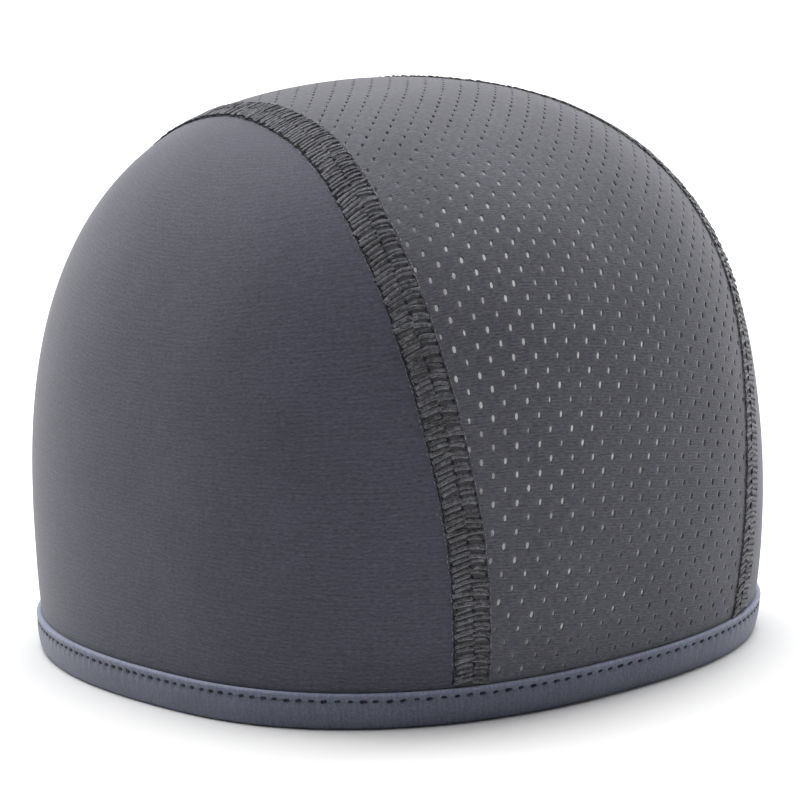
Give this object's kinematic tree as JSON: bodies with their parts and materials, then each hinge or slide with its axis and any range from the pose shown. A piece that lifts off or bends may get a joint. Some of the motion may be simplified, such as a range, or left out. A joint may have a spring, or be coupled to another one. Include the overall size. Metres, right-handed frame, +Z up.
{
  "type": "helmet liner cap",
  "caption": "Close-fitting dark grey stretch cap worn under a helmet, with a perforated panel over the crown and a bound rim.",
  "frame": {"origin": "The middle of the cap's bounding box in X and Y, on the plane that the rim rests on.", "axes": "+Z is up. -Y is the brow end and +Y the nape end. +X is the wearer's left and -X the wearer's right."},
  "size_m": [0.1614, 0.1882, 0.138],
  "materials": {
    "smooth_knit": "smooth fine knit, bluish dark grey, soft satin sheen",
    "perforated_knit": "matt fine knit with staggered rows of small eyelets, dark grey",
    "seam_thread": "dense matt cover stitching, dark grey with a slight olive tint",
    "binding_knit": "folded smooth knit strip with one line of stitches, bluish dark grey"
  },
  "bodies": {
    "root": {"center_panel": "perforated_knit", "side_panel_left": "smooth_knit", "side_panel_right": "smooth_knit", "seam_left": "seam_thread", "seam_right": "seam_thread", "rim_binding": "binding_knit"}
  },
  "joints": []
}
